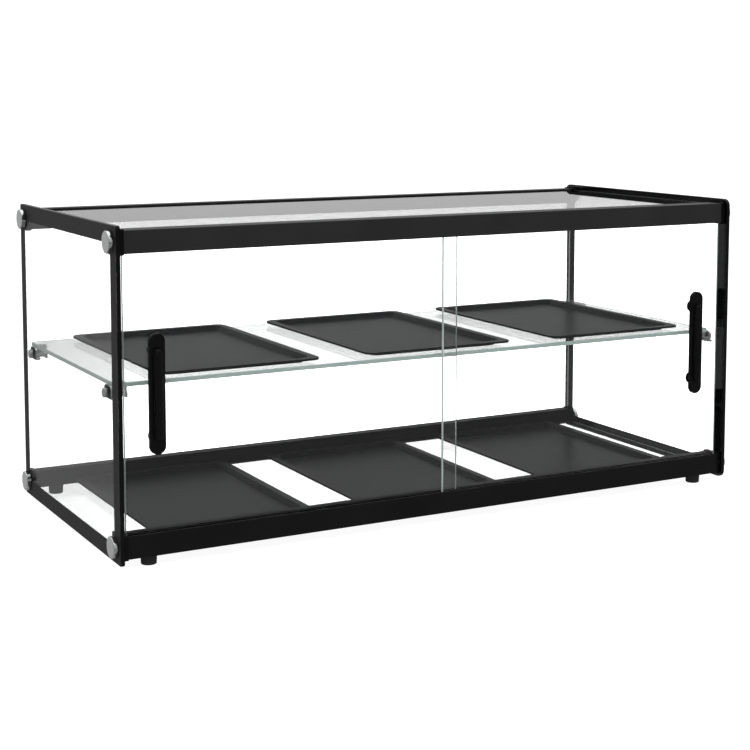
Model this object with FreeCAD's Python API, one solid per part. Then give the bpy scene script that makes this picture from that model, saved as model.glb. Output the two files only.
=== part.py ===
import FreeCAD, Part

import math
import os

# Counter-top glass display case for a bakery, in millimetres.
# Two glass end panels are clamped by knobs to the ends of four aluminium rails. The rails hold
# the top, base and customer panes and the track of two sliding doors. A glass shelf rests on
# brackets bolted through the end panels, and six metal trays lie on the shelf and the base.
# +Z is up, the doors face -Y and the customer's pane faces +Y. The origin is under the middle
# of the whole case, handles included, on the surface that the feet stand on.
# Heights named "..._height_in_panel" count from the end panels' lower edge, and distances named
# "..._from_door_edge" count from the end panels' door-side edge towards the customer.

# Driving dimensions
case_width = 850.0
panel_depth = 368.0
panel_height = 375.0
panel_thickness = 5.0
left_corner_radius = 3.0
right_corner_radius = 9.0

rail_height = 26.0
rail_edge_gap = 5.5
rail_inset = 5.0
rail_edge_radius = 0.9
rail_wall = 2.0
door_rail_depth = 26.0
customer_rail_depth = 18.0

cap_thickness = 6.0
cap_proud = 1.5

pane_thickness = 5.0
glass_arris = 0.5
pane_end_gap = 0.5
pane_fit = 0.1

door_thickness = 4.0
door_play = 0.5
door_overlap = 22.5
door_end_gap = 0.5
door_rise = 0.2
track_depth_bottom = 4.0
track_depth_top = 9.0
door_top_engagement = 4.5
front_door_setback = 3.3
track_rib = 1.5

handle_length = 136.0
handle_width = 19.0
handle_base = 5.0
grip_length = 104.0
grip_width = 11.0
grip_reach = 6.5
grip_round = 4.5
handle_offset = 37.5
handle_height_in_panel = 186.0
handle_screw_pitch = 96.0
rosette_diameter = 16.0
rosette_thickness = 6.0

knob_diameter = 25.0
knob_thickness = 5.3
washer_thickness = 0.7
stud_radius = 2.5
stud_grip_in_rail = 16.0
stud_grip_in_knob = 3.6

foot_height = 11.5
foot_top_radius = 9.5
foot_base_radius = 8.8
foot_x = 386.0

shelf_thickness = 5.0
shelf_top_in_panel = 199.0
shelf_end_gap = 4.0
shelf_from_door_edge = 30.0
shelf_depth = 321.0

bracket_from_panel_edge = 40.0
bracket_axis_drop = 6.5
bracket_plate_width = 22.0
bracket_plate_height = 14.5
bracket_plate_thickness = 3.0
bracket_foot_width = 28.0
bracket_foot_height = 3.0
bracket_foot_reach = 5.5
bracket_arm_reach = 17.0
bracket_arm_width = 13.0
bracket_arm_depth = 4.5
bracket_end_depth = 7.0
bracket_sheet = 1.6
bracket_pad_height = 6.0
thumb_nut_radius = 5.5
thumb_nut_thickness = 3.8

tray_width = 206.0
tray_length = 305.0
tray_height = 6.5
tray_sheet = 1.0
tray_rim = 9.0
tray_slope = 6.0
tray_lip_depth = 2.4
tray_lip_width = 1.3
tray_edge_radius = 0.6
tray_corner_radius = 13.0
tray_mouth_corner_radius = 12.0
tray_floor_corner_radius = 9.0
tray_pitch = 267.0
tray_row_shift = 3.0
tray_from_door_edge = 36.0

# Fasteners
thread_fit = 0.05
clear_fit = 0.3
handle_screw_grip = 6.0
bracket_bolt_radius = 2.5
bracket_bolt_grip = 3.0
handle_screw_radius = 2.0
screw_head_radius = 3.8
screw_head_thickness = 1.8
foot_screw_radius = 2.0
foot_screw_head_radius = 4.0
foot_screw_grip = 7.0
foot_recess = 5.0

# Worked-out places
X_AXIS = FreeCAD.Vector(1, 0, 0)
Y_AXIS = FreeCAD.Vector(0, 1, 0)
Z_AXIS = FreeCAD.Vector(0, 0, 1)

panel_bottom = foot_height - rail_edge_gap
front_door_from_door_edge = rail_inset + front_door_setback
handle_overhang = handle_base + grip_reach - front_door_from_door_edge
case_depth = panel_depth + handle_overhang
door_edge_y = handle_overhang - case_depth / 2
customer_edge_y = case_depth / 2

panel_inner_x = case_width / 2 - panel_thickness
rail_end_x = panel_inner_x - cap_thickness
pane_end_x = panel_inner_x - pane_end_gap

door_rail_y = door_edge_y + rail_inset
customer_rail_y = customer_edge_y - rail_inset - customer_rail_depth
bottom_rail_z = panel_bottom + rail_edge_gap
top_rail_z = panel_bottom + panel_height - rail_edge_gap - rail_height
rail_middle = rail_height / 2

# Grooves in the rails, measured in each rail's section from its -Y face and its underside
pane_groove_height = pane_thickness + 2 * pane_fit
base_groove_z = 1.5 - pane_fit
top_groove_z = rail_height - rail_wall - pane_thickness - pane_fit
door_rail_groove_y = 17.5
customer_rail_groove_depth = 6.0
customer_slot_y = 11.2
customer_slot_depth = 9.0
customer_slot_width = pane_thickness + 2 * pane_fit
pane_edge_gap = 0.5

track_width = door_thickness + 2 * door_play
front_track_y = front_door_setback - door_play
rear_track_y = front_track_y + track_width + track_rib
front_door_y = door_rail_y + front_track_y + door_play
rear_door_y = door_rail_y + rear_track_y + door_play

door_width = rail_end_x - door_end_gap + door_overlap / 2
door_bottom_z = bottom_rail_z + rail_height - track_depth_bottom + door_rise
door_top_z = top_rail_z + door_top_engagement
handle_x = rail_end_x - door_end_gap - handle_offset
handle_z = panel_bottom + handle_height_in_panel

base_pane_z = bottom_rail_z + base_groove_z + pane_fit
top_pane_z = top_rail_z + top_groove_z + pane_fit
pane_near_y = door_rail_y + door_rail_groove_y + pane_edge_gap
pane_far_y = customer_rail_y + customer_rail_groove_depth - pane_edge_gap
customer_pane_y = customer_rail_y + customer_slot_y + pane_fit

shelf_top_z = panel_bottom + shelf_top_in_panel
shelf_bottom_z = shelf_top_z - shelf_thickness
shelf_near_y = door_edge_y + shelf_from_door_edge
bracket_axis_z = shelf_bottom_z - bracket_axis_drop
bracket_arm_top_z = shelf_bottom_z - bracket_pad_height
bracket_base_z = bracket_arm_top_z - bracket_end_depth
bracket_ys = (door_edge_y + bracket_from_panel_edge, customer_edge_y - bracket_from_panel_edge)

door_stud_y = door_rail_y + door_rail_depth / 2
customer_stud_y = customer_rail_y + customer_rail_depth / 2
stud_places = (
    (door_stud_y, bottom_rail_z + rail_middle),
    (door_stud_y, top_rail_z + rail_middle),
    (customer_stud_y, bottom_rail_z + rail_middle),
    (customer_stud_y, top_rail_z + rail_middle),
)

door_side_foot_y = door_rail_y + door_rail_depth / 2 + 1.0
customer_side_foot_y = customer_rail_y + customer_rail_depth / 2 + 0.5
foot_places = (
    (-foot_x, door_side_foot_y),
    (foot_x, door_side_foot_y),
    (-foot_x, customer_side_foot_y),
    (foot_x, customer_side_foot_y),
)

tray_near_y = door_edge_y + tray_from_door_edge
tray_xs = (tray_row_shift - tray_pitch, tray_row_shift, tray_row_shift + tray_pitch)


# Building blocks
def block(x0, x1, y0, y1, z0, z1):
    return Part.makeBox(x1 - x0, y1 - y0, z1 - z0, FreeCAD.Vector(x0, y0, z0))


def rod(radius, length, x, y, z, axis):
    return Part.makeCylinder(radius, length, FreeCAD.Vector(x, y, z), axis)


def edges_along(shape, axis):
    """The straight edges of a shape that run parallel to an axis."""
    found = []
    for edge in shape.Edges:
        if edge.Curve.TypeId == "Part::GeomLine" and abs(edge.tangentAt(0).dot(axis)) > 0.999:
            found.append(edge)
    return found


def round_edges(shape, axis, radius):
    return shape.makeFillet(radius, edges_along(shape, axis))


def arrised(shape, axis, size):
    """A sheet of glass with its sharp edges ground off; axis is the sheet's normal."""
    sharp = []
    for edge in shape.Edges:
        ends = [vertex.Point for vertex in edge.Vertexes]
        if abs((ends[-1] - ends[0]).dot(axis)) < 0.01:
            sharp.append(edge)
    return shape.makeChamfer(size, sharp)


def circle_edges_at(shape, axis, level, radius):
    """The full circles of a given radius that lie at a level along an axis."""
    found = []
    for edge in shape.Edges:
        if edge.Curve.TypeId != "Part::GeomCircle":
            continue
        if abs(edge.Curve.Center.dot(axis) - level) < 0.01 and abs(edge.Curve.Radius - radius) < 0.01:
            found.append(edge)
    return found


def mirrored(shape):
    """The same piece on the other side of the case's middle plane."""
    return shape.mirror(FreeCAD.Vector(0, 0, 0), X_AXIS)


def both_ends(shapes):
    """Right-hand pieces followed by their left-hand mirror images."""
    return list(shapes) + [mirrored(shape) for shape in shapes]


def save(node, shapes):
    """Writes one node: one solid, or a group of separate solids."""
    solids = []
    for shape in shapes:
        solids.extend(shape.removeSplitter().Solids)
    result = solids[0] if len(solids) == 1 else Part.makeCompound(solids)
    result.exportStep("parts/" + node + ".step")


# End panels
def end_panel(corner_radius):
    """The right-hand glass end, drilled for the rail studs and the shelf brackets."""
    panel = block(
        panel_inner_x,
        panel_inner_x + panel_thickness,
        door_edge_y,
        customer_edge_y,
        panel_bottom,
        panel_bottom + panel_height,
    )
    panel = arrised(round_edges(panel, X_AXIS, corner_radius), X_AXIS, glass_arris)
    stud_hole_radius = 4.0
    bolt_hole_radius = 3.2
    for y, z in stud_places:
        panel = panel.cut(rod(stud_hole_radius, panel_thickness, panel_inner_x, y, z, X_AXIS))
    for y in bracket_ys:
        hole = rod(bolt_hole_radius, panel_thickness, panel_inner_x, y, bracket_axis_z, X_AXIS)
        panel = panel.cut(hole)
    return panel


# Rails: each section is a rounded rectangle less a list of (y0, y1, z0, z1) cut-outs
door_bottom_grooves = [
    (door_rail_groove_y, door_rail_depth, base_groove_z, base_groove_z + pane_groove_height),
]
door_top_grooves = [
    (door_rail_groove_y, door_rail_depth, top_groove_z, top_groove_z + pane_groove_height),
]
customer_bottom_grooves = [
    (0.0, customer_rail_groove_depth, base_groove_z, base_groove_z + pane_groove_height),
    (
        customer_slot_y,
        customer_slot_y + customer_slot_width,
        rail_height - customer_slot_depth,
        rail_height,
    ),
]
customer_top_grooves = [
    (0.0, customer_rail_groove_depth, top_groove_z, top_groove_z + pane_groove_height),
    (customer_slot_y, customer_slot_y + customer_slot_width, 0.0, customer_slot_depth),
]
door_bottom_tracks = [
    (track_y, track_y + track_width, rail_height - track_depth_bottom, rail_height)
    for track_y in (front_track_y, rear_track_y)
]
door_top_tracks = [
    (track_y, track_y + track_width, 0.0, track_depth_top)
    for track_y in (front_track_y, rear_track_y)
]

# Hollow cells of the extrusions, clear of the tracks, the grooves and the stud's screw channel
channel_clearance = 4.3
low_cell_top = rail_middle - channel_clearance
high_cell_base = rail_middle + channel_clearance
front_cell_end = door_rail_groove_y - rail_wall
back_cell_start = door_rail_depth / 2 + channel_clearance + 0.5
back_cell_end = door_rail_depth - rail_wall
door_bottom_cells = [
    (rail_wall, front_cell_end, rail_wall, low_cell_top),
    (rail_wall, front_cell_end, high_cell_base, rail_height - track_depth_bottom - rail_wall),
    (back_cell_start, back_cell_end, low_cell_top, rail_height - rail_wall),
]
door_top_cells = [
    (rail_wall, front_cell_end, high_cell_base, rail_height - rail_wall),
    (back_cell_start, back_cell_end, rail_wall, top_groove_z - rail_wall),
]
groove_side_start = customer_rail_groove_depth + rail_wall
groove_side_end = customer_rail_depth - rail_wall
slot_side_end = customer_slot_y - rail_wall
customer_bottom_cells = [
    (groove_side_start, groove_side_end, rail_wall, low_cell_top),
    (rail_wall, slot_side_end, high_cell_base, rail_height - rail_wall),
]
customer_top_cells = [
    (rail_wall, slot_side_end, rail_wall, low_cell_top),
    (groove_side_start, groove_side_end, high_cell_base, rail_height - rail_wall),
]
trim_line_width = 1.0
trim_line_depth = 0.6
customer_trim_line = [
    (0.0, trim_line_depth, rail_middle - trim_line_width / 2, rail_middle + trim_line_width / 2),
]


def rail(y, z, depth, cut_outs, stud_y):
    """One extruded rail across the case, with a screw channel for the studs in each end."""
    body = block(-rail_end_x, rail_end_x, y, y + depth, z, z + rail_height)
    body = round_edges(body, X_AXIS, rail_edge_radius)
    for y0, y1, z0, z1 in cut_outs:
        body = body.cut(block(-rail_end_x, rail_end_x, y + y0, y + y1, z + z0, z + z1))
    channel_radius = stud_radius + thread_fit
    channel_z = z + rail_middle
    return body.cut(rod(channel_radius, 2 * rail_end_x, -rail_end_x, stud_y, channel_z, X_AXIS))


def rail_caps(y, z, depth, grooves, stud_y, inner_side):
    """The plastic caps of one rail, notched where the glass panes run through to the end panels."""
    y0 = y - cap_proud if inner_side < 0 else y
    y1 = y + depth + cap_proud if inner_side > 0 else y + depth
    z0 = z - cap_proud
    z1 = z + rail_height + cap_proud
    cap = round_edges(block(rail_end_x, panel_inner_x, y0, y1, z0, z1), X_AXIS, 1.6)
    for groove_y0, groove_y1, groove_z0, groove_z1 in grooves:
        notch_y0 = y0 if groove_y0 <= 0 else y + groove_y0
        notch_y1 = y1 if groove_y1 >= depth else y + groove_y1
        notch_z0 = z0 if groove_z0 <= 0 else z + groove_z0
        notch_z1 = z1 if groove_z1 >= rail_height else z + groove_z1
        cap = cap.cut(block(rail_end_x, panel_inner_x, notch_y0, notch_y1, notch_z0, notch_z1))
    hole = rod(stud_radius + 0.4, cap_thickness, rail_end_x, stud_y, z + rail_middle, X_AXIS)
    return both_ends([cap.cut(hole)])


def drill_for_foot_screws(body):
    tip_clearance = 0.3
    hole_depth = foot_screw_grip + tip_clearance
    for x, y in foot_places:
        body = body.cut(rod(foot_screw_radius + thread_fit, hole_depth, x, y, bottom_rail_z, Z_AXIS))
    return body


# Clamp knobs, soft washers and studs at the ends of the rails
def clamp_knobs():
    inner_x = case_width / 2 + washer_thickness
    outer_x = inner_x + knob_thickness
    radius = knob_diameter / 2
    face_edge_radius = 0.8
    back_edge_radius = 0.3
    knobs = []
    for y, z in stud_places:
        knob = rod(radius, knob_thickness, inner_x, y, z, X_AXIS)
        knob = knob.makeFillet(face_edge_radius, circle_edges_at(knob, X_AXIS, outer_x, radius))
        knob = knob.makeFillet(back_edge_radius, circle_edges_at(knob, X_AXIS, inner_x, radius))
        knobs.append(knob.cut(rod(stud_radius + thread_fit, stud_grip_in_knob, inner_x, y, z, X_AXIS)))
    return both_ends(knobs)


def knob_washers():
    washer_radius = knob_diameter / 2 - 1.5
    washers = []
    for y, z in stud_places:
        ring = rod(washer_radius, washer_thickness, case_width / 2, y, z, X_AXIS)
        hole = rod(stud_radius + clear_fit, washer_thickness, case_width / 2, y, z, X_AXIS)
        washers.append(ring.cut(hole))
    return both_ends(washers)


def clamp_studs():
    inner_x = rail_end_x - stud_grip_in_rail
    outer_x = case_width / 2 + washer_thickness + stud_grip_in_knob
    length = outer_x - inner_x
    return both_ends([rod(stud_radius, length, inner_x, y, z, X_AXIS) for y, z in stud_places])


# Fixed panes
def pane(y0, y1, z0, z1):
    return block(-pane_end_x, pane_end_x, y0, y1, z0, z1)


def customer_pane():
    z0 = bottom_rail_z + rail_height - customer_slot_depth + pane_edge_gap
    z1 = top_rail_z + customer_slot_depth - pane_edge_gap
    return pane(customer_pane_y, customer_pane_y + pane_thickness, z0, z1)


# Shelf and its brackets
def shelf():
    end_x = panel_inner_x - shelf_end_gap
    slab = block(
        -end_x, end_x, shelf_near_y, shelf_near_y + shelf_depth, shelf_bottom_z, shelf_top_z
    )
    slab = round_edges(slab, Z_AXIS, 4.0)
    return slab.makeFillet(0.5, edges_along(slab, X_AXIS))


def shelf_bracket(y):
    """A plate against the right-hand end panel with a foot below and a folded arm to the shelf."""
    plate_x = panel_inner_x - bracket_plate_thickness
    plate = block(
        plate_x,
        panel_inner_x,
        y - bracket_plate_width / 2,
        y + bracket_plate_width / 2,
        bracket_base_z,
        bracket_base_z + bracket_plate_height,
    )
    foot = block(
        panel_inner_x - bracket_foot_reach,
        panel_inner_x,
        y - bracket_foot_width / 2,
        y + bracket_foot_width / 2,
        bracket_base_z,
        bracket_base_z + bracket_foot_height,
    )
    plate_corner_radius = 4.0
    foot_edge_radius = 1.2
    body = round_edges(plate, X_AXIS, plate_corner_radius).fuse(round_edges(foot, X_AXIS, foot_edge_radius))
    body = body.fuse(bracket_arm(y, plate_x))
    bore_x = panel_inner_x - bracket_bolt_grip
    bore = rod(bracket_bolt_radius + thread_fit, bracket_bolt_grip, bore_x, y, bracket_axis_z, X_AXIS)
    return body.cut(bore).removeSplitter()


def bracket_arm(y, plate_x):
    """A channel, open below, whose end is folded further down than its sides."""
    end_x = panel_inner_x - bracket_arm_reach
    y0 = y - bracket_arm_width / 2
    y1 = y + bracket_arm_width / 2
    fold_radius = 1.0
    channel = block(end_x, plate_x, y0, y1, bracket_arm_top_z - bracket_arm_depth, bracket_arm_top_z)
    end = block(end_x, end_x + bracket_sheet, y0, y1, bracket_base_z, bracket_arm_top_z)
    inside = block(
        end_x + bracket_sheet,
        plate_x,
        y0 + bracket_sheet,
        y1 - bracket_sheet,
        bracket_arm_top_z - bracket_arm_depth,
        bracket_arm_top_z - bracket_sheet,
    )
    arm = round_edges(channel, X_AXIS, fold_radius).cut(inside)
    return arm.fuse(round_edges(end, X_AXIS, fold_radius))


def shelf_brackets():
    return both_ends([shelf_bracket(y) for y in bracket_ys])


def bracket_pads():
    """Soft pads on the brackets' arms, each with ribs that carry the shelf."""
    pad_inset = 0.6
    pad_length = 10.6
    pad_width = bracket_arm_width - 2.0
    pad_base = 1.6
    ribs = 3
    rib_width = 2.2
    start_x = panel_inner_x - bracket_arm_reach + pad_inset
    rib_pitch = (pad_length - rib_width) / (ribs - 1)
    pads = []
    for y in bracket_ys:
        y0 = y - pad_width / 2
        y1 = y + pad_width / 2
        pad = block(start_x, start_x + pad_length, y0, y1, bracket_arm_top_z, bracket_arm_top_z + pad_base)
        for rib in range(ribs):
            rib_x = start_x + rib * rib_pitch
            pad = pad.fuse(block(rib_x, rib_x + rib_width, y0, y1, bracket_arm_top_z, shelf_bottom_z))
        pads.append(pad.removeSplitter())
    return both_ends(pads)


def bracket_bolts():
    """Plain bolts that end inside the brackets' plates and inside the thumb nuts."""
    inner_x = panel_inner_x - bracket_bolt_grip
    length = panel_thickness + 2 * bracket_bolt_grip
    return both_ends(
        [rod(bracket_bolt_radius, length, inner_x, y, bracket_axis_z, X_AXIS) for y in bracket_ys]
    )


def bracket_thumb_nuts():
    """Knurled round nuts on the outside of the end panels, each with flutes round its rim."""
    flute_radius = 0.5
    flutes = 20
    face_edge_radius = 0.5
    outer_x = case_width / 2 + thumb_nut_thickness
    nuts = []
    for y in bracket_ys:
        nut = rod(thumb_nut_radius, thumb_nut_thickness, case_width / 2, y, bracket_axis_z, X_AXIS)
        nut = nut.makeFillet(face_edge_radius, circle_edges_at(nut, X_AXIS, outer_x, thumb_nut_radius))
        for flute in range(flutes):
            angle = 2 * math.pi * flute / flutes
            flute_y = y + thumb_nut_radius * math.cos(angle)
            flute_z = bracket_axis_z + thumb_nut_radius * math.sin(angle)
            nut = nut.cut(
                rod(flute_radius, thumb_nut_thickness, case_width / 2, flute_y, flute_z, X_AXIS)
            )
        bore = rod(
            bracket_bolt_radius + thread_fit,
            bracket_bolt_grip,
            case_width / 2,
            y,
            bracket_axis_z,
            X_AXIS,
        )
        nuts.append(nut.cut(bore))
    return both_ends(nuts)


# Sliding doors: a glass, a moulded handle in front of it, and two screws through rosettes behind it
def door_glass(x0, y):
    corner_radius = 2.0
    screw_hole_radius = 3.2
    glass = block(x0, x0 + door_width, y, y + door_thickness, door_bottom_z, door_top_z)
    glass = arrised(round_edges(glass, Y_AXIS, corner_radius), Y_AXIS, glass_arris)
    side = math.copysign(1.0, x0 + door_width / 2)
    for z in handle_screw_heights():
        glass = glass.cut(rod(screw_hole_radius, door_thickness, side * handle_x, y, z, Y_AXIS))
    return glass


def handle_screw_heights():
    return (handle_z - handle_screw_pitch / 2, handle_z + handle_screw_pitch / 2)


def upright_obround(x, y0, y1, width, length):
    """A bar with half-round ends, standing upright, from y0 to y1."""
    straight = length / 2 - width / 2
    bar = block(x - width / 2, x + width / 2, y0, y1, handle_z - straight, handle_z + straight)
    for z in (handle_z - straight, handle_z + straight):
        bar = bar.fuse(rod(width / 2, y1 - y0, x, y0, z, Y_AXIS))
    return bar.removeSplitter()


def soften_front(shape, y, radius):
    """Rounds every edge of a shape that lies in the plane of its front face."""
    front = []
    for edge in shape.Edges:
        if abs(edge.BoundBox.YMin - y) < 0.01 and abs(edge.BoundBox.YMax - y) < 0.01:
            front.append(edge)
    return shape.makeFillet(radius, front)


def door_handle(x, door_y):
    base_y = door_y - handle_base
    grip_y = base_y - grip_reach
    base_edge_radius = 1.2
    screw_hole_radius = handle_screw_radius + thread_fit
    screw_hole_depth = handle_screw_grip + 1.0
    grip_root_y = door_y - 1.0
    base = upright_obround(x, base_y, door_y, handle_width, handle_length)
    grip = upright_obround(x, grip_y, grip_root_y, grip_width, grip_length)
    base = soften_front(base, base_y, base_edge_radius)
    grip = soften_front(grip, grip_y, grip_round)
    handle = base.fuse(grip).removeSplitter()
    for z in handle_screw_heights():
        hole = rod(screw_hole_radius, screw_hole_depth, x, door_y - screw_hole_depth, z, Y_AXIS)
        handle = handle.cut(hole)
    return handle


def handle_rosettes(x, door_y):
    back_y = door_y + door_thickness
    radius = rosette_diameter / 2
    back_edge_radius = 1.6
    recess_radius = screw_head_radius + 0.2
    rosettes = []
    for z in handle_screw_heights():
        disc = rod(radius, rosette_thickness, x, back_y, z, Y_AXIS)
        rim = circle_edges_at(disc, Y_AXIS, back_y + rosette_thickness, radius)
        disc = disc.makeFillet(back_edge_radius, rim)
        disc = disc.cut(rod(handle_screw_radius + clear_fit, rosette_thickness, x, back_y, z, Y_AXIS))
        head_recess_y = back_y + rosette_thickness - screw_head_thickness
        recess = rod(recess_radius, screw_head_thickness, x, head_recess_y, z, Y_AXIS)
        rosettes.append(disc.cut(recess))
    return rosettes


def handle_screws(x, door_y):
    """Cross-recessed screws whose heads sit in the rosettes."""
    back_y = door_y + door_thickness + rosette_thickness
    tip_y = door_y - handle_screw_grip
    long_half = 2.2
    short_half = 0.5
    slot_depth = 1.0
    screws = []
    for z in handle_screw_heights():
        head_y = back_y - screw_head_thickness
        shank = rod(handle_screw_radius, head_y - tip_y, x, tip_y, z, Y_AXIS)
        head = rod(screw_head_radius, screw_head_thickness, x, head_y, z, Y_AXIS)
        screw = shank.fuse(head).removeSplitter()
        for half_width, half_height in ((long_half, short_half), (short_half, long_half)):
            slot = block(
                x - half_width,
                x + half_width,
                back_y - slot_depth,
                back_y,
                z - half_height,
                z + half_height,
            )
            screw = screw.cut(slot)
        screws.append(screw)
    return screws


# Feet
def rubber_feet():
    """Tapered feet under the bottom rails, with a recess below for the screw's head."""
    sole_edge_radius = 1.2
    feet = []
    for x, y in foot_places:
        base = FreeCAD.Vector(x, y, 0)
        foot = Part.makeCone(foot_base_radius, foot_top_radius, foot_height, base, Z_AXIS)
        foot = foot.makeFillet(sole_edge_radius, circle_edges_at(foot, Z_AXIS, 0.0, foot_base_radius))
        foot = foot.cut(rod(foot_screw_head_radius + clear_fit, foot_recess, x, y, 0, Z_AXIS))
        feet.append(foot.cut(rod(foot_screw_radius + clear_fit, foot_height, x, y, 0, Z_AXIS)))
    return feet


def foot_screws():
    head_height = 2.2
    head_edge_radius = 0.7
    screw_tip_z = bottom_rail_z + foot_screw_grip
    screws = []
    for x, y in foot_places:
        head_z = foot_recess - head_height
        head = rod(foot_screw_head_radius, head_height, x, y, head_z, Z_AXIS)
        lower_rim = circle_edges_at(head, Z_AXIS, head_z, foot_screw_head_radius)
        head = head.makeFillet(head_edge_radius, lower_rim)
        shank = rod(foot_screw_radius, screw_tip_z - foot_recess, x, y, foot_recess, Z_AXIS)
        screws.append(head.fuse(shank).removeSplitter())
    return screws


# Trays: a pressed sheet with a flat floor, sloping sides and a flat rim with a turned-down lip
def rounded_outline(x, y, z, width, length, radius):
    """A closed rectangle with round corners, lying level."""
    half_x = width / 2
    half_y = length / 2
    slab = block(x - half_x, x + half_x, y - half_y, y + half_y, z, z + 1.0)
    slab = round_edges(slab, Z_AXIS, radius)
    bottom_face = min(slab.Faces, key=lambda face: face.CenterOfMass.z)
    return bottom_face.OuterWire


def pan_body(x, y, z0, z1, shrink):
    """The solid inside the tray's floor and sloping sides, drawn in by an amount all round."""
    narrow = 2 * (tray_rim + tray_slope + shrink)
    wide = 2 * (tray_rim + shrink)
    floor = rounded_outline(
        x, y, z0, tray_width - narrow, tray_length - narrow, tray_floor_corner_radius - shrink
    )
    mouth = rounded_outline(
        x, y, z1, tray_width - wide, tray_length - wide, tray_mouth_corner_radius - shrink
    )
    return Part.makeLoft([floor, mouth], True, True)


def tray_rim_plate(x, y, top_z):
    """The rim, softened above, with a lip turned down all round its outer edge."""
    base_z = top_z - tray_lip_depth
    outline = rounded_outline(x, y, base_z, tray_width, tray_length, tray_corner_radius)
    plate = Part.Face(outline).extrude(FreeCAD.Vector(0, 0, tray_lip_depth))
    upper_edges = [edge for edge in plate.Edges if edge.BoundBox.ZMin > top_z - 0.01]
    plate = plate.makeFillet(tray_edge_radius, upper_edges)
    lip_outline = rounded_outline(
        x,
        y,
        base_z,
        tray_width - 2 * tray_lip_width,
        tray_length - 2 * tray_lip_width,
        tray_corner_radius - tray_lip_width,
    )
    underside = FreeCAD.Vector(0, 0, tray_lip_depth - tray_sheet)
    return plate.cut(Part.Face(lip_outline).extrude(underside))


def tray(x, floor_z):
    y = tray_near_y + tray_length / 2
    top_z = floor_z + tray_height
    shell = tray_rim_plate(x, y, top_z).fuse(pan_body(x, y, floor_z, top_z, 0.0))
    return shell.cut(pan_body(x, y, floor_z + tray_sheet, top_z, tray_sheet)).removeSplitter()


# Nodes
def build_frame():
    save("left_end_panel", [mirrored(end_panel(left_corner_radius))])
    save("right_end_panel", [end_panel(right_corner_radius)])

    cut_outs = door_bottom_grooves + door_bottom_tracks + door_bottom_cells
    bottom_rail = rail(door_rail_y, bottom_rail_z, door_rail_depth, cut_outs, door_stud_y)
    save("door_side_bottom_rail", [drill_for_foot_screws(bottom_rail)])
    cut_outs = door_top_grooves + door_top_tracks + door_top_cells
    save("door_side_top_rail", [rail(door_rail_y, top_rail_z, door_rail_depth, cut_outs, door_stud_y)])

    cut_outs = customer_bottom_grooves + customer_bottom_cells + customer_trim_line
    bottom_rail = rail(customer_rail_y, bottom_rail_z, customer_rail_depth, cut_outs, customer_stud_y)
    save("customer_side_bottom_rail", [drill_for_foot_screws(bottom_rail)])
    cut_outs = customer_top_grooves + customer_top_cells + customer_trim_line
    top_rail = rail(customer_rail_y, top_rail_z, customer_rail_depth, cut_outs, customer_stud_y)
    save("customer_side_top_rail", [top_rail])


def build_rail_caps():
    rows = (
        ("door_side_bottom_rail_caps", door_rail_y, bottom_rail_z, door_rail_depth, door_bottom_grooves, 1),
        ("door_side_top_rail_caps", door_rail_y, top_rail_z, door_rail_depth, door_top_grooves, 1),
        (
            "customer_side_bottom_rail_caps",
            customer_rail_y,
            bottom_rail_z,
            customer_rail_depth,
            customer_bottom_grooves,
            -1,
        ),
        (
            "customer_side_top_rail_caps",
            customer_rail_y,
            top_rail_z,
            customer_rail_depth,
            customer_top_grooves,
            -1,
        ),
    )
    for node, y, z, depth, grooves, inner_side in rows:
        stud_y = y + depth / 2
        save(node, rail_caps(y, z, depth, grooves, stud_y, inner_side))


def build_clamps():
    save("clamp_knobs", clamp_knobs())
    save("knob_washers", knob_washers())
    save("clamp_studs", clamp_studs())


def build_panes():
    save("top_glass", [pane(pane_near_y, pane_far_y, top_pane_z, top_pane_z + pane_thickness)])
    save("base_glass", [pane(pane_near_y, pane_far_y, base_pane_z, base_pane_z + pane_thickness)])
    save("customer_glass", [customer_pane()])


def build_shelf():
    save("shelf_glass", [shelf()])
    save("shelf_brackets", shelf_brackets())
    save("shelf_bracket_pads", bracket_pads())
    save("shelf_bracket_bolts", bracket_bolts())
    save("shelf_bracket_thumb_nuts", bracket_thumb_nuts())


def build_doors():
    left_x0 = -rail_end_x + door_end_gap
    right_x0 = rail_end_x - door_end_gap - door_width
    for side, x0, x, y in (
        ("left", left_x0, -handle_x, rear_door_y),
        ("right", right_x0, handle_x, front_door_y),
    ):
        save(side + "_door_glass", [door_glass(x0, y)])
        save(side + "_door_handle", [door_handle(x, y)])
        save(side + "_handle_rosettes", handle_rosettes(x, y))
        save(side + "_handle_screws", handle_screws(x, y))


def build_feet():
    save("rubber_feet", rubber_feet())
    save("foot_screws", foot_screws())


def build_trays():
    base_floor_z = base_pane_z + pane_thickness
    for place, x in zip(("left", "middle", "right"), tray_xs):
        save("shelf_tray_" + place, [tray(x, shelf_top_z)])
        save("base_tray_" + place, [tray(x, base_floor_z)])


os.makedirs("parts", exist_ok=True)
build_frame()
build_rail_caps()
build_clamps()
build_panes()
build_shelf()
build_doors()
build_feet()
build_trays()
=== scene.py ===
import math

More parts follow.
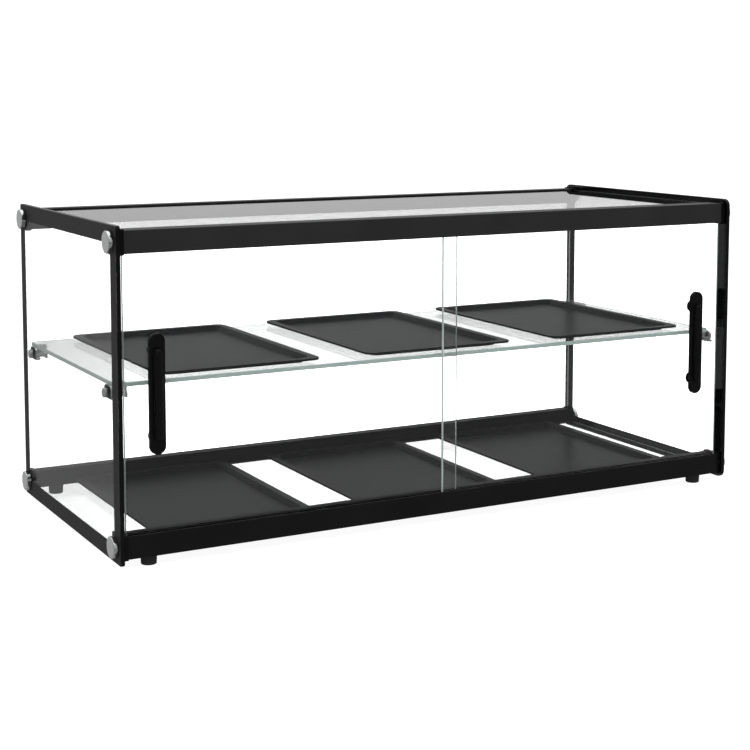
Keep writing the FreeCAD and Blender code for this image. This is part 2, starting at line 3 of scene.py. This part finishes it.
import bmesh
import bpy
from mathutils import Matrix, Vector


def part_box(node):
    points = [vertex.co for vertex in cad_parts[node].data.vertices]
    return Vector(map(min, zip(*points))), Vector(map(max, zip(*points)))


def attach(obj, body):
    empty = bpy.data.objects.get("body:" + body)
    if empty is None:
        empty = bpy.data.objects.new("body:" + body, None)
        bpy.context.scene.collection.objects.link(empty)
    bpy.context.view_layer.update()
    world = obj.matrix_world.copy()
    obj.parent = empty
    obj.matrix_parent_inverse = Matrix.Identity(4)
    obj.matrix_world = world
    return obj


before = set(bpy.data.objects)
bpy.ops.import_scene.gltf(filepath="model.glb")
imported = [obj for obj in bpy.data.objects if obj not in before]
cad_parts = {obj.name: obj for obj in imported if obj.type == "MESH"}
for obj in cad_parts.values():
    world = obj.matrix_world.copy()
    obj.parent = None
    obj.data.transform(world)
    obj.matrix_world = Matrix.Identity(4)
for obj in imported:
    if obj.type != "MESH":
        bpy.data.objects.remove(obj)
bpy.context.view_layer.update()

# The looks of a countertop bakery display case, in metres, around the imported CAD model.
# The doors face -Y, the customer's pane faces +Y, and the case stands on z = 0.
MM = 0.001

# The camera stands on the door side, to the left, a little above the case.
CAMERA_PLACE = Vector((-0.9793, -1.7969, 0.5307))
CAMERA_YAW = math.radians(28.314)
CAMERA_PITCH_DOWN = math.radians(5.583)
CAMERA_LENS = 75.81
CAMERA_SENSOR_WIDTH = 36.0
CAMERA_SHIFT_Y = -0.18
CAMERA_NEAR = 0.05
CAMERA_FAR = 1000.0

# The studio is plain white to the eye, straight or through glass. Rays that bounced on their
# way see a bright horizon under a softer dome instead, dimmer on the door side (-Y).
# Each fall, rise or pair of edges counts along one axis of the ray's direction.
HORIZON_LEVEL = 1.25
DOME_LEVEL = 0.58
HORIZON_FALL = (0.055, 0.072)
FRONT_DIMMING = 0.6
FRONT_DIMMING_EDGES = (-0.85, 0.05)

# Reflections see a darker floor and low horizon, a bright ceiling and a black card at each
# side. Light that was mirrored twice is darker still.
MIRRORED_FLOOR_LEVEL = 0.22
MIRRORED_FALL = (0.015, 0.068)
CEILING_LEVEL = 1.1
CEILING_RISE = (0.45, 0.75)
BLACK_CARD_LEVEL = 0.06
BLACK_CARD_EDGES = (0.70, 0.80)
TWICE_MIRRORED_LEVEL = 0.12

# The floor's own glow keeps it white beside the soft shadow of the case. Its mirrored
# picture darkens towards -Y between two places in metres.
FLOOR_HALF_SIZE = 400.0
FLOOR_GLOW = 0.93
FLOOR_GLOW_THROUGH_GLASS = 2.2
FLOOR_WHITE = 0.30
MIRRORED_FLOOR_EDGES = (-3.0, 0.0)

LAMP_DISTANCE = 3.0

# The printed border on the outer faces of the end panels
PRINT_WIDTH = 20.0 * MM
PRINT_TOP_WIDTH = 20.5 * MM
PRINT_THICKNESS = 0.10 * MM
PRINT_GAP = 0.02 * MM
PRINT_INSET = 0.5 * MM
WINDOW_CORNER_RADIUS = 1.0 * MM
LEFT_CORNER_RADIUS = 3.0 * MM
RIGHT_CORNER_RADIUS = 9.0 * MM
CORNER_STEPS = 10

# Clear glass: how its tint wanders, how it waves, and the lamp light that it lets through
TINT_WANDER = 0.012
TINT_SCALE = 3.0
TINT_DETAIL = 3.0
WAVE_SCALE = 5.0
WAVE_DETAIL = 1.0
WAVE_DEPTH = 0.2 * MM
WAVINESS = 0.004
LAMP_LIGHT_THROUGH_GLASS = (0.96, 0.975, 0.97, 1.0)

# Noise patterns: the part of their range that is used, the soft clouds of a finish's colour,
# and the stretch of its grain
NOISE_LOW = 0.3
NOISE_HIGH = 0.7
NOISE_ROUGHNESS = 0.55
CLOUD_SCALE = 9.0
CLOUD_DETAIL = 5.0
GRAIN_DETAIL = 3.0
EVEN = (1.0, 1.0, 1.0)
ALONG_X = (0.02, 1.0, 1.0)

# A face looks along an axis when that part of its normal is larger than this.
FACING = 0.9
X_AXIS = 0
Y_AXIS = 1
Z_AXIS = 2


# Node helpers
def new_material(name):
    """An empty node material with its output node, ready for a shader."""
    material = bpy.data.materials.new(name)
    material.use_nodes = True
    nodes = material.node_tree.nodes
    nodes.clear()
    output = nodes.new("ShaderNodeOutputMaterial")
    return material, nodes, material.node_tree.links, output


def set_inputs(shader, values):
    for name, value in values.items():
        shader.inputs[name].default_value = value


def object_coordinates(nodes, links, scale=EVEN):
    """The object's own coordinates, stretched, so that patterns ride with their body."""
    coordinates = nodes.new("ShaderNodeTexCoord")
    mapping = nodes.new("ShaderNodeMapping")
    mapping.inputs["Scale"].default_value = scale
    links.new(coordinates.outputs["Object"], mapping.inputs["Vector"])
    return mapping.outputs["Vector"]


def noise(nodes, links, vector, scale, detail):
    texture = nodes.new("ShaderNodeTexNoise")
    texture.inputs["Scale"].default_value = scale
    texture.inputs["Detail"].default_value = detail
    texture.inputs["Roughness"].default_value = NOISE_ROUGHNESS
    links.new(vector, texture.inputs["Vector"])
    return texture.outputs["Fac"]


def spread(nodes, links, value, low, high, from_low=NOISE_LOW, from_high=NOISE_HIGH):
    """A value mapped evenly on to a range and held at its ends."""
    mapped = nodes.new("ShaderNodeMapRange")
    mapped.inputs["From Min"].default_value = from_low
    mapped.inputs["From Max"].default_value = from_high
    mapped.inputs["To Min"].default_value = low
    mapped.inputs["To Max"].default_value = high
    links.new(value, mapped.inputs["Value"])
    return mapped.outputs["Result"]


def arithmetic(nodes, links, operation, first, second):
    node = nodes.new("ShaderNodeMath")
    node.operation = operation
    links.new(first, node.inputs[0])
    links.new(second, node.inputs[1])
    return node.outputs["Value"]


def colour_between(nodes, links, value, dark, light):
    """A colour that runs from dark to light with a noise value."""
    ramp = nodes.new("ShaderNodeValToRGB")
    ramp.color_ramp.elements[0].position = NOISE_LOW
    ramp.color_ramp.elements[0].color = (*dark, 1.0)
    ramp.color_ramp.elements[1].position = NOISE_HIGH
    ramp.color_ramp.elements[1].color = (*light, 1.0)
    links.new(value, ramp.inputs["Fac"])
    return ramp.outputs["Color"]


def bump(nodes, links, height, strength, distance):
    node = nodes.new("ShaderNodeBump")
    node.inputs["Strength"].default_value = strength
    node.inputs["Distance"].default_value = distance
    links.new(height, node.inputs["Height"])
    return node.outputs["Normal"]


def surface(name, dark, light, rough, settings, grain_scale, relief, strength, stretch=EVEN):
    """A finish with a colour that wanders, a roughness that wanders and a fine relief."""
    material, nodes, links, output = new_material(name)
    shader = nodes.new("ShaderNodeBsdfPrincipled")
    set_inputs(shader, settings)
    even = object_coordinates(nodes, links)
    stretched = object_coordinates(nodes, links, stretch)
    clouds = noise(nodes, links, even, CLOUD_SCALE, CLOUD_DETAIL)
    grain = noise(nodes, links, stretched, grain_scale, GRAIN_DETAIL)
    links.new(colour_between(nodes, links, clouds, dark, light), shader.inputs["Base Color"])
    links.new(spread(nodes, links, grain, rough[0], rough[1]), shader.inputs["Roughness"])
    links.new(bump(nodes, links, grain, strength, relief), shader.inputs["Normal"])
    links.new(shader.outputs["BSDF"], output.inputs["Surface"])
    return material


# Materials
def clear_glass(name, tint):
    """Float glass that bends light for the eye and lets lamps through."""
    material, nodes, links, output = new_material(name)
    glass = nodes.new("ShaderNodeBsdfPrincipled")
    set_inputs(glass, {"Transmission Weight": 1.0, "Roughness": 0.0, "IOR": 1.5})
    coordinates = object_coordinates(nodes, links)
    haze = noise(nodes, links, coordinates, TINT_SCALE, TINT_DETAIL)
    deep = tuple(channel - TINT_WANDER for channel in tint)
    links.new(colour_between(nodes, links, haze, deep, tint), glass.inputs["Base Color"])
    wave = noise(nodes, links, coordinates, WAVE_SCALE, WAVE_DETAIL)
    links.new(bump(nodes, links, wave, WAVINESS, WAVE_DEPTH), glass.inputs["Normal"])
    passing = nodes.new("ShaderNodeBsdfTransparent")
    passing.inputs["Color"].default_value = LAMP_LIGHT_THROUGH_GLASS
    path = nodes.new("ShaderNodeLightPath")
    mix = nodes.new("ShaderNodeMixShader")
    links.new(path.outputs["Is Shadow Ray"], mix.inputs["Fac"])
    links.new(glass.outputs["BSDF"], mix.inputs[1])
    links.new(passing.outputs["BSDF"], mix.inputs[2])
    links.new(mix.outputs["Shader"], output.inputs["Surface"])
    return material


def ground_edge(name, dark, light):
    """The ground and polished edge of a pane, where the glass shows its own colour."""
    settings = {"Transmission Weight": 0.35, "IOR": 1.5, "Coat Weight": 0.5, "Coat Roughness": 0.08}
    return surface(
        name, dark, light, (0.16, 0.34), settings,
        grain_scale=900.0, relief=0.02 * MM, strength=0.4,
    )


def black_aluminium(name, dark, light, specular):
    """Satin black anodising over fine extrusion lines that run along the rails."""
    settings = {"Metallic": 0.0, "Specular IOR Level": specular, "IOR": 1.45}
    return surface(
        name, dark, light, (0.42, 0.50), settings,
        grain_scale=1600.0, relief=0.010 * MM, strength=0.25, stretch=ALONG_X,
    )


def gloss_plastic():
    """Moulded black plastic with a soft gloss, also put on the edge faces of the end panels."""
    settings = {"Specular IOR Level": 0.20, "IOR": 1.46, "Coat Weight": 0.06, "Coat Roughness": 0.1}
    return surface(
        "black_gloss_plastic", (0.0018, 0.0018, 0.0020), (0.0035, 0.0035, 0.0038), (0.22, 0.27),
        settings, grain_scale=700.0, relief=0.004 * MM, strength=0.12,
    )


def printed_back():
    """The print's inner side, which is seen deep black through the end glass."""
    settings = {"Specular IOR Level": 0.05, "IOR": 1.45}
    return surface(
        "printed_back", (0.0015, 0.0015, 0.0016), (0.0025, 0.0025, 0.0027), (0.50, 0.60),
        settings, grain_scale=1200.0, relief=0.004 * MM, strength=0.1,
    )


def printed_black():
    """The print's outer side, a satin black enamel."""
    settings = {"Specular IOR Level": 0.35, "IOR": 1.45}
    return surface(
        "printed_black", (0.011, 0.011, 0.0115), (0.015, 0.015, 0.0155), (0.40, 0.50),
        settings, grain_scale=1200.0, relief=0.01 * MM, strength=0.4,
    )


def knob_face():
    """Satin metal for the flat faces of the clamp knobs."""
    settings = {"Metallic": 0.9, "IOR": 1.5}
    return surface(
        "knob_face", (0.86, 0.865, 0.87), (0.95, 0.955, 0.96), (0.40, 0.52),
        settings, grain_scale=2600.0, relief=0.01 * MM, strength=0.4,
    )


def chrome():
    """Bright plating for the knobs' rims and the shelf's brackets."""
    settings = {"Metallic": 1.0, "IOR": 1.5}
    return surface(
        "bright_chrome", (0.86, 0.87, 0.88), (0.93, 0.94, 0.95), (0.05, 0.12),
        settings, grain_scale=300.0, relief=0.005 * MM, strength=0.15,
    )


def plain_steel():
    """Plated steel for studs, bolts and screws."""
    settings = {"Metallic": 1.0, "IOR": 1.5}
    return surface(
        "plain_steel", (0.42, 0.42, 0.41), (0.58, 0.58, 0.56), (0.26, 0.42),
        settings, grain_scale=1500.0, relief=0.01 * MM, strength=0.4,
    )


def rubber(name, dark, light, settings):
    return surface(
        name, dark, light, (0.62, 0.80), settings,
        grain_scale=1500.0, relief=0.04 * MM, strength=0.5,
    )


def tray_coating():
    """Dark baked coating with a soft sheen, a little worn and uneven."""
    settings = {"Metallic": 0.0, "Specular IOR Level": 0.06, "IOR": 1.5}
    return surface(
        "tray_metal", (0.005, 0.0052, 0.0056), (0.009, 0.0094, 0.0102), (0.30, 0.36),
        settings, grain_scale=500.0, relief=0.003 * MM, strength=0.12,
    )


# Putting materials on CAD nodes
def paint(node, material):
    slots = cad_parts[node].data.materials
    slots.clear()
    slots.append(material)


def paint_by_facing(node, axis, along, across):
    """One material on the faces that look along an axis and another on the rest."""
    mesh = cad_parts[node].data
    mesh.materials.clear()
    mesh.materials.append(along)
    mesh.materials.append(across)
    for face in mesh.polygons:
        face.material_index = 0 if abs(face.normal[axis]) > FACING else 1


# Printed borders of the end panels
def rounded_corner_points(y0, y1, z0, z1, radius):
    """A closed outline with rounded corners in the Y-Z plane."""
    centres = (
        (y1 - radius, z1 - radius, 0.0),
        (y0 + radius, z1 - radius, 90.0),
        (y0 + radius, z0 + radius, 180.0),
        (y1 - radius, z0 + radius, 270.0),
    )
    points = []
    for centre_y, centre_z, start in centres:
        for step in range(CORNER_STEPS + 1):
            angle = math.radians(start + 90.0 * step / CORNER_STEPS)
            points.append((centre_y + radius * math.cos(angle), centre_z + radius * math.sin(angle)))
    return points


def border_print(name, node, corner_radius, front, back):
    """A thin film round the outer face of an end panel, deep black towards the glass."""
    low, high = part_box(node)
    outward = 1.0 if high.x > 0 else -1.0
    face_x = high.x if outward > 0 else low.x
    inner_x = face_x + outward * PRINT_GAP
    outer_x = inner_x + outward * PRINT_THICKNESS
    outline = rounded_corner_points(
        low.y + PRINT_INSET, high.y - PRINT_INSET,
        low.z + PRINT_INSET, high.z - PRINT_INSET, corner_radius - PRINT_INSET,
    )
    window = rounded_corner_points(
        low.y + PRINT_WIDTH, high.y - PRINT_WIDTH,
        low.z + PRINT_TOP_WIDTH, high.z - PRINT_TOP_WIDTH, WINDOW_CORNER_RADIUS,
    )
    film = bmesh.new()
    rings = []
    for points, x in ((outline, inner_x), (window, inner_x), (outline, outer_x), (window, outer_x)):
        rings.append([film.verts.new((x, y, z)) for y, z in points])
    for first, second in ((0, 1), (1, 3), (3, 2), (2, 0)):
        count = len(rings[first])
        for i in range(count):
            j = (i + 1) % count
            film.faces.new((rings[first][i], rings[first][j], rings[second][j], rings[second][i]))
    bmesh.ops.recalc_face_normals(film, faces=film.faces)
    mesh = bpy.data.meshes.new(name)
    film.to_mesh(mesh)
    film.free()
    mesh.materials.append(front)
    mesh.materials.append(back)
    for face in mesh.polygons:
        face.material_index = 1 if face.normal.x * outward < -FACING else 0
    piece = bpy.data.objects.new(name, mesh)
    bpy.context.scene.collection.objects.link(piece)
    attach(piece, "case")


# Studio
def mirror_ray(nodes, links):
    """One for rays that were mirrored on their way, also inside a pane, and zero for others."""
    path = nodes.new("ShaderNodeLightPath")
    mirrored = nodes.new("ShaderNodeMath")
    mirrored.operation = "GREATER_THAN"
    mirrored.inputs[1].default_value = 0.5
    links.new(path.outputs["Glossy Depth"], mirrored.inputs[0])
    return mirrored.outputs["Value"]


def bounced_ray(nodes, links):
    """How often a ray was mirrored or scattered. Passing through glass doesn't count."""
    path = nodes.new("ShaderNodeLightPath")
    return arithmetic(nodes, links, "ADD", path.outputs["Glossy Depth"], path.outputs["Diffuse Depth"])


def floor_material():
    """White to the eye with a faint contact shadow, and darker where it is mirrored."""
    material, nodes, links, output = new_material("studio_floor")
    material.cycles.emission_sampling = "NONE"
    white = nodes.new("ShaderNodeBsdfPrincipled")
    set_inputs(white, {"Roughness": 0.9, "Specular IOR Level": 0.0})
    path = nodes.new("ShaderNodeLightPath")
    through_glass = arithmetic(
        nodes, links, "SUBTRACT", path.outputs["Is Transmission Ray"], bounced_ray(nodes, links)
    )
    glow = spread(nodes, links, through_glass, FLOOR_GLOW, FLOOR_GLOW_THROUGH_GLASS, 0.0, 1.0)
    links.new(glow, white.inputs["Emission Strength"])
    white.inputs["Base Color"].default_value = (FLOOR_WHITE, FLOOR_WHITE, FLOOR_WHITE, 1.0)
    white.inputs["Emission Color"].default_value = (1.0, 1.0, 1.0, 1.0)
    mirrored = nodes.new("ShaderNodeEmission")
    place = nodes.new("ShaderNodeNewGeometry")
    split = nodes.new("ShaderNodeSeparateXYZ")
    links.new(place.outputs["Position"], split.inputs["Vector"])
    front_level = MIRRORED_FLOOR_LEVEL * FRONT_DIMMING
    level = spread(
        nodes, links, split.outputs["Y"], front_level, MIRRORED_FLOOR_LEVEL, *MIRRORED_FLOOR_EDGES
    )
    links.new(level, mirrored.inputs["Strength"])
    mix = nodes.new("ShaderNodeMixShader")
    links.new(mirror_ray(nodes, links), mix.inputs["Fac"])
    links.new(white.outputs["BSDF"], mix.inputs[1])
    links.new(mirrored.outputs["Emission"], mix.inputs[2])
    links.new(mix.outputs["Shader"], output.inputs["Surface"])
    return material


def studio_floor():
    sheet = bmesh.new()
    half = FLOOR_HALF_SIZE
    corners = ((-half, -half), (half, -half), (half, half), (-half, half))
    sheet.faces.new([sheet.verts.new((x, y, 0.0)) for x, y in corners])
    mesh = bpy.data.meshes.new("studio_floor")
    sheet.to_mesh(mesh)
    sheet.free()
    mesh.materials.append(floor_material())
    floor = bpy.data.objects.new("studio_floor", mesh)
    bpy.context.scene.collection.objects.link(floor)


def studio_world():
    """A white room, with a softer picture for scattered light and a darker one for mirrors."""
    world = bpy.data.worlds.new("studio")
    bpy.context.scene.world = world
    world.use_nodes = True
    nodes = world.node_tree.nodes
    links = world.node_tree.links
    nodes.clear()
    output = nodes.new("ShaderNodeOutputWorld")
    background = nodes.new("ShaderNodeBackground")
    coordinates = nodes.new("ShaderNodeTexCoord")
    split = nodes.new("ShaderNodeSeparateXYZ")
    links.new(coordinates.outputs["Generated"], split.inputs["Vector"])
    height = split.outputs["Z"]
    scattered = spread(nodes, links, height, HORIZON_LEVEL, DOME_LEVEL, *HORIZON_FALL)
    low_mirrored = spread(nodes, links, height, MIRRORED_FLOOR_LEVEL, DOME_LEVEL, *MIRRORED_FALL)
    ceiling = spread(nodes, links, height, 0.0, CEILING_LEVEL - DOME_LEVEL, *CEILING_RISE)
    lit = arithmetic(nodes, links, "ADD", low_mirrored, ceiling)
    sideways = nodes.new("ShaderNodeMath")
    sideways.operation = "ABSOLUTE"
    links.new(split.outputs["X"], sideways.inputs[0])
    cards = spread(nodes, links, sideways.outputs["Value"], 1.0, BLACK_CARD_LEVEL, *BLACK_CARD_EDGES)
    path = nodes.new("ShaderNodeLightPath")
    again = spread(nodes, links, path.outputs["Glossy Depth"], 1.0, TWICE_MIRRORED_LEVEL, 1.0, 2.0)
    once_mirrored = arithmetic(nodes, links, "MULTIPLY", lit, cards)
    mirrored = arithmetic(nodes, links, "MULTIPLY", once_mirrored, again)
    choice = nodes.new("ShaderNodeMix")
    links.new(mirror_ray(nodes, links), choice.inputs["Factor"])
    links.new(scattered, choice.inputs["A"])
    links.new(mirrored, choice.inputs["B"])
    dim = spread(nodes, links, split.outputs["Y"], FRONT_DIMMING, 1.0, *FRONT_DIMMING_EDGES)
    lighting = arithmetic(nodes, links, "MULTIPLY", choice.outputs["Result"], dim)
    level = nodes.new("ShaderNodeMix")
    level.inputs["A"].default_value = HORIZON_LEVEL
    links.new(bounced_ray(nodes, links), level.inputs["Factor"])
    links.new(lighting, level.inputs["B"])
    links.new(level.outputs["Result"], background.inputs["Color"])
    background.inputs["Strength"].default_value = 1.0
    links.new(background.outputs["Background"], output.inputs["Surface"])


def wide_lamp(name, towards, strength, spread_degrees):
    """A very wide far lamp, which casts soft shadows and isn't seen in or through glass."""
    lamp = bpy.data.lights.new(name, "SUN")
    lamp.energy = strength
    lamp.angle = math.radians(spread_degrees)
    holder = bpy.data.objects.new(name, lamp)
    holder.location = Vector(towards) * LAMP_DISTANCE
    holder.rotation_mode = "QUATERNION"
    holder.rotation_quaternion = (-Vector(towards)).to_track_quat("-Z", "Y")
    holder.visible_glossy = False
    holder.visible_transmission = False
    bpy.context.scene.collection.objects.link(holder)


def studio_camera():
    direction = Vector(
        (
            math.sin(CAMERA_YAW) * math.cos(CAMERA_PITCH_DOWN),
            math.cos(CAMERA_YAW) * math.cos(CAMERA_PITCH_DOWN),
            -math.sin(CAMERA_PITCH_DOWN),
        )
    )
    data = bpy.data.cameras.new("camera")
    data.sensor_width = CAMERA_SENSOR_WIDTH
    data.lens = CAMERA_LENS
    data.shift_y = CAMERA_SHIFT_Y
    data.clip_start = CAMERA_NEAR
    data.clip_end = CAMERA_FAR
    camera = bpy.data.objects.new("camera", data)
    camera.location = CAMERA_PLACE
    camera.rotation_mode = "QUATERNION"
    camera.rotation_quaternion = direction.to_track_quat("-Z", "Y")
    bpy.context.scene.collection.objects.link(camera)
    bpy.context.scene.camera = camera


def view_settings():
    """Enough bounces for light to pass through every pane of the case."""
    scene = bpy.context.scene
    scene.view_settings.view_transform = "Standard"
    scene.cycles.max_bounces = 20
    scene.cycles.transmission_bounces = 20
    scene.cycles.glossy_bounces = 8
    scene.cycles.transparent_max_bounces = 24


# Finishes, one function for each group of parts
def finish_panes(plastic):
    pane = clear_glass("clear_glass", (0.985, 0.992, 0.989))
    pane_edge = ground_edge("pane_edge", (0.50, 0.60, 0.57), (0.66, 0.76, 0.73))
    shelf_pane = clear_glass("shelf_glass", (0.975, 0.992, 0.986))
    shelf_edge = ground_edge("shelf_edge", (0.72, 0.93, 0.88), (0.84, 0.98, 0.95))
    for side in ("left", "right"):
        paint_by_facing(side + "_end_panel", X_AXIS, pane, plastic)
        paint_by_facing(side + "_door_glass", Y_AXIS, pane, pane_edge)
    for node in ("top_glass", "base_glass"):
        paint_by_facing(node, Z_AXIS, pane, pane_edge)
    paint_by_facing("customer_glass", Y_AXIS, pane, pane_edge)
    paint_by_facing("shelf_glass", Z_AXIS, shelf_pane, shelf_edge)


def finish_prints():
    film = printed_black()
    film_back = printed_back()
    border_print("left_end_print", "left_end_panel", LEFT_CORNER_RADIUS, film, film_back)
    border_print("right_end_print", "right_end_panel", RIGHT_CORNER_RADIUS, film, film_back)


def finish_rails(plastic):
    """The bottom rails get a darker, less glossy copy of the same black: painted shade for the less
    light they sit in.
    """
    aluminium = {
        "top": black_aluminium(
            "black_aluminium", (0.0125, 0.0125, 0.0128), (0.0175, 0.0175, 0.0178), 0.4
        ),
        # A darker, less glossy copy of the rails' black: painted shade for the bottom rails.
        "bottom": black_aluminium(
            "painted_shade_black_aluminium", (0.0035, 0.0035, 0.0037), (0.0060, 0.0060, 0.0062), 0.22
        ),
    }
    for row in ("door_side", "customer_side"):
        for level in ("bottom", "top"):
            paint(row + "_" + level + "_rail", aluminium[level])
            paint(row + "_" + level + "_rail_caps", plastic)


def finish_fittings(plastic):
    bright = chrome()
    steel = plain_steel()
    for side in ("left", "right"):
        paint(side + "_door_handle", plastic)
        paint(side + "_handle_rosettes", plastic)
        paint(side + "_handle_screws", steel)
    paint_by_facing("clamp_knobs", X_AXIS, knob_face(), bright)
    paint("knob_washers", rubber("soft_washer", (0.03, 0.03, 0.03), (0.05, 0.05, 0.05), {}))
    paint("clamp_studs", steel)
    paint("shelf_brackets", bright)
    paint("shelf_bracket_thumb_nuts", bright)
    paint("shelf_bracket_bolts", steel)
    pad_settings = {"Transmission Weight": 0.5, "IOR": 1.42}
    pad = rubber("clear_pad", (0.60, 0.61, 0.60), (0.72, 0.73, 0.72), pad_settings)
    paint("shelf_bracket_pads", pad)
    foot_settings = {"Specular IOR Level": 0.3}
    foot = rubber("black_rubber", (0.010, 0.010, 0.010), (0.018, 0.018, 0.018), foot_settings)
    paint("rubber_feet", foot)
    paint("foot_screws", steel)


def finish_trays():
    tray_metal = tray_coating()
    for row in ("shelf", "base"):
        for place in ("left", "middle", "right"):
            paint(row + "_tray_" + place, tray_metal)


def finish_case():
    plastic = gloss_plastic()
    finish_panes(plastic)
    finish_rails(plastic)
    finish_fittings(plastic)
    finish_trays()
    finish_prints()


finish_case()
studio_floor()
studio_world()
wide_lamp("key_light", towards=(-0.55, -0.5, 0.9), strength=1.5, spread_degrees=50.0)
wide_lamp("fill_light", towards=(0.5, 0.35, 1.0), strength=1.3, spread_degrees=60.0)
studio_camera()
view_settings()
